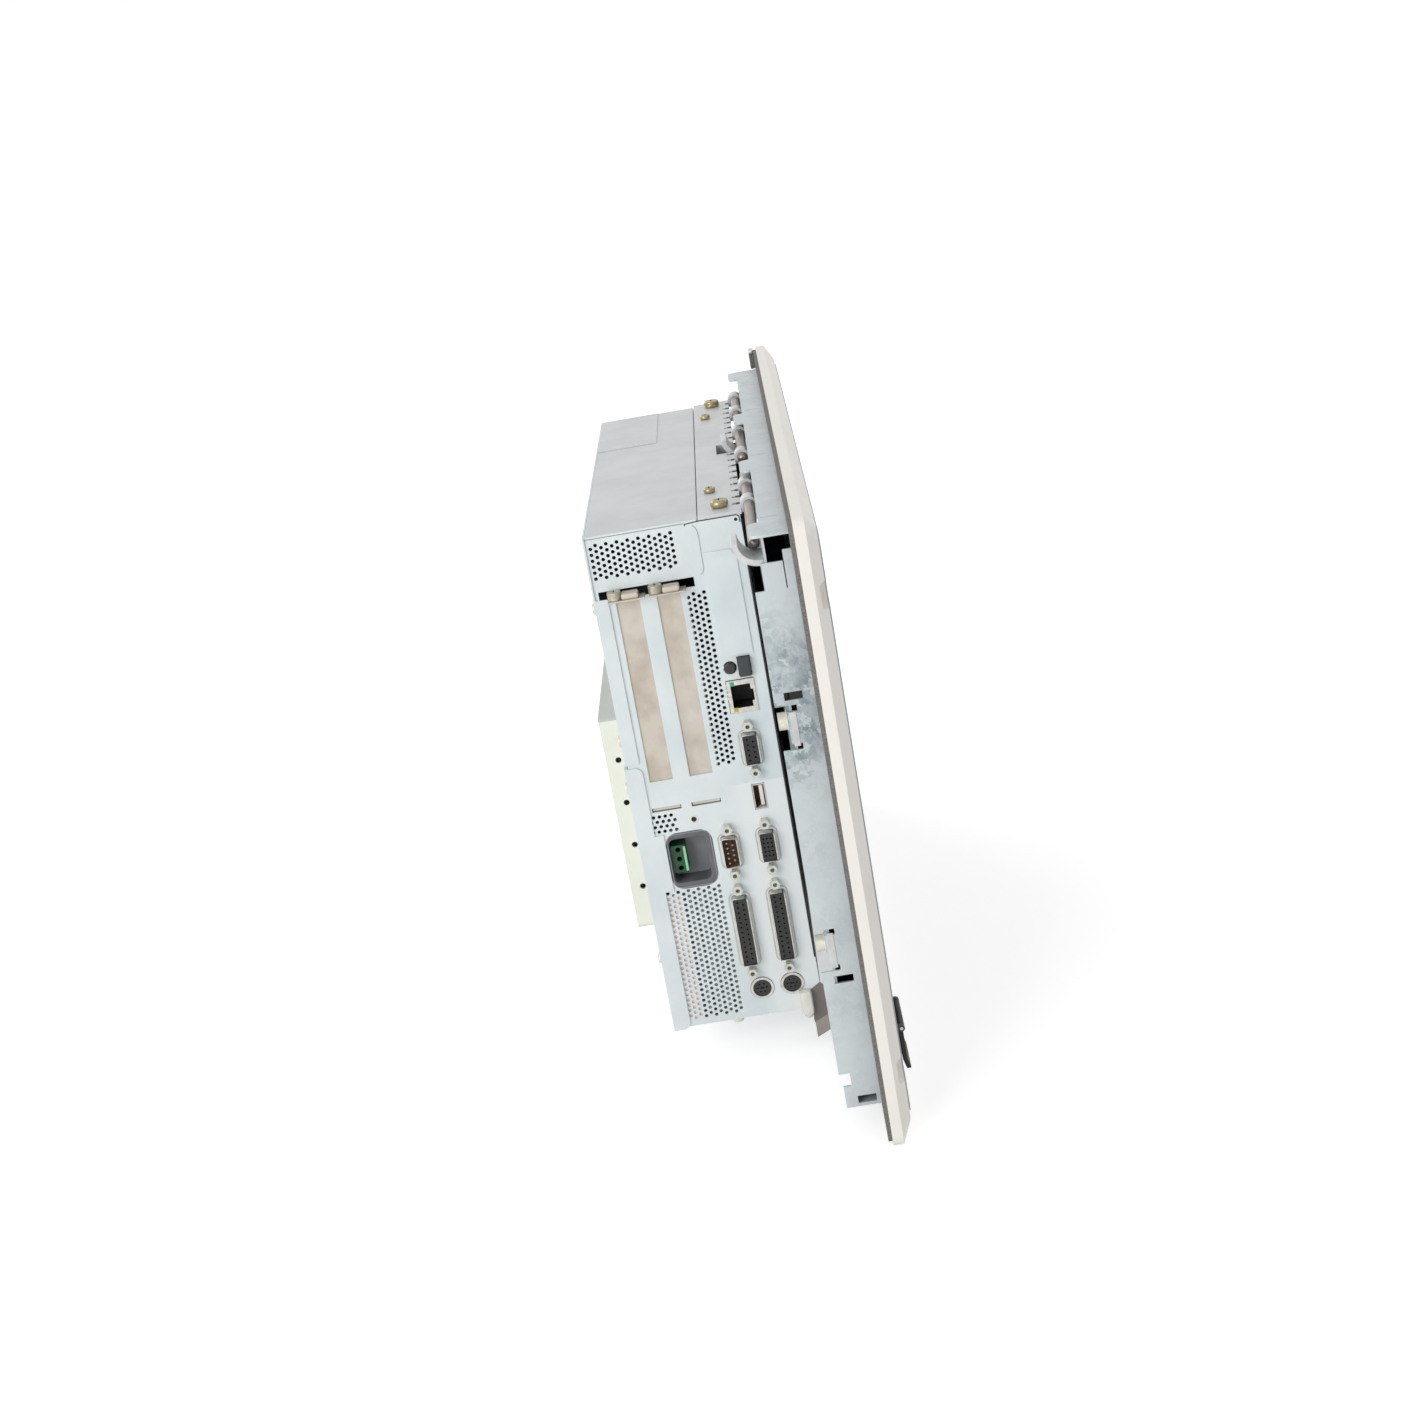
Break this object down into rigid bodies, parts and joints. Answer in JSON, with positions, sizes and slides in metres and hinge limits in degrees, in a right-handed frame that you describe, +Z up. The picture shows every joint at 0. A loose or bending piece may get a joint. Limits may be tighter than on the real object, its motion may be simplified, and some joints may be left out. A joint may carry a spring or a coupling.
{
  "type": "industrial panel pc",
  "caption": "Panel-mounted industrial computer: bevelled operator front, sheet-metal display frame and a vented computing unit hung on hinge rods.",
  "frame": {"origin": "centre of the sealing plane, where the gasket's rear face meets the wall it is built into", "axes": "+X to the right seen from the operator's side, +Y from the operator to the rear, +Z up"},
  "size_m": [0.4826, 0.1291, 0.3102],
  "materials": {
    "bezel_paint": "satin",
    "window": "gloss",
    "foil": "matte",
    "gasket": "matte",
    "zinc": "satin",
    "galvanised": "satin",
    "blank_steel": "satin",
    "cover_paint": "satin",
    "bright_metal": "polished",
    "brass": "satin",
    "pale_screw": "satin",
    "black_plastic": "matte",
    "grey_plastic": "matte",
    "brown_plastic": "matte",
    "green_plastic": "satin",
    "circuit": "satin",
    "cream_plastic": "satin",
    "tag_foil": "satin",
    "drive_metal": "satin"
  },
  "bodies": {
    "front": {"front_bezel": "bezel_paint", "display_glass": "window", "membrane_keypad": "foil", "panel_gasket": "gasket", "lcd_module": "bright_metal", "inverter_board": "circuit", "front_usb_socket": "bright_metal", "flap_frame": "black_plastic", "flap_hinge_pin": "bright_metal", "display_frame": "galvanised", "display_back_plate": "galvanised", "frame_screws": "pale_screw", "hinge_hooks": "galvanised"},
    "unit": {"hinge_rods": "bright_metal", "hinge_bracket": "zinc", "port_side_plate": "zinc", "drive_side_plate": "zinc", "unit_front_plate": "zinc", "bottom_plate": "zinc", "top_cover": "zinc", "back_cover": "zinc", "rear_hatch": "zinc", "drive_cover": "cover_paint", "motherboard": "circuit", "bus_board": "circuit", "heatsink": "drive_metal", "power_supply": "drive_metal", "fan_housing": "black_plastic", "hard_disk": "drive_metal", "optical_drive": "drive_metal", "floppy_drive": "black_plastic", "drive_cradle": "zinc", "slot_blank_1": "blank_steel", "slot_blank_2": "blank_steel", "slot_screws": "brass", "jack_screws": "pale_screw", "din_socket_1": "grey_plastic", "din_socket_2": "grey_plastic", "usb_socket": "bright_metal", "ethernet_jack": "bright_metal", "power_recess": "grey_plastic", "power_terminal": "green_plastic", "card_slot_cover": "zinc", "card_cage": "drive_metal", "case_screws": "brass", "back_screws": "pale_screw", "locking_post": "cream_plastic", "cable_tag": "tag_foil", "dsub25_socket_1": "grey_plastic", "dsub25_socket_2": "grey_plastic", "dsub9_plug": "brown_plastic", "video_socket": "grey_plastic", "dsub9_socket": "grey_plastic"},
    "flap": {"port_flap": "black_plastic"},
    "reset_button": {"reset_button": "black_plastic"},
    "card_eject_button": {"card_eject_button": "grey_plastic"},
    "fan_rotor": {"fan_rotor": "black_plastic"},
    "tray": {"optical_tray": "black_plastic"},
    "tray_button": {"tray_button": "grey_plastic"},
    "floppy_button": {"floppy_button": "grey_plastic"}
  },
  "joints": [
    {"name": "unit_swing", "type": "hinge", "parent": "front", "child": "unit", "pos_m": [0, 0.016, 0.1363], "axis": [1, 0, 0], "range_deg": [0, 75]},
    {"name": "flap_hinge", "type": "hinge", "parent": "front", "child": "flap", "pos_m": [-0.192, -0.0152, -0.1093], "axis": [-1, 0, 0], "range_deg": [0, 110]},
    {"name": "reset_press", "type": "slide", "parent": "unit", "child": "reset_button", "axis": [1, 0, 0], "range_m": [0, 0.0012], "stiffness_N_per_m": 400, "springref_m": -0.001},
    {"name": "card_eject_press", "type": "slide", "parent": "unit", "child": "card_eject_button", "axis": [1, 0, 0], "range_m": [0, 0.003], "stiffness_N_per_m": 200, "springref_m": -0.002},
    {"name": "fan_spin", "type": "hinge", "parent": "unit", "child": "fan_rotor", "pos_m": [0.04, 0.07693, -0.1117], "axis": [1, 0, 0], "continuous": true},
    {"name": "tray_slide", "type": "slide", "parent": "unit", "child": "tray", "axis": [1, 0, 0], "range_m": [0, 0.12]},
    {"name": "tray_button_press", "type": "slide", "parent": "tray", "child": "tray_button", "axis": [-1, 0, 0], "range_m": [0, 0.001], "stiffness_N_per_m": 300, "springref_m": -0.001},
    {"name": "floppy_button_press", "type": "slide", "parent": "unit", "child": "floppy_button", "axis": [-1, 0, 0], "range_m": [0, 0.006], "stiffness_N_per_m": 150, "springref_m": -0.002}
  ]
}
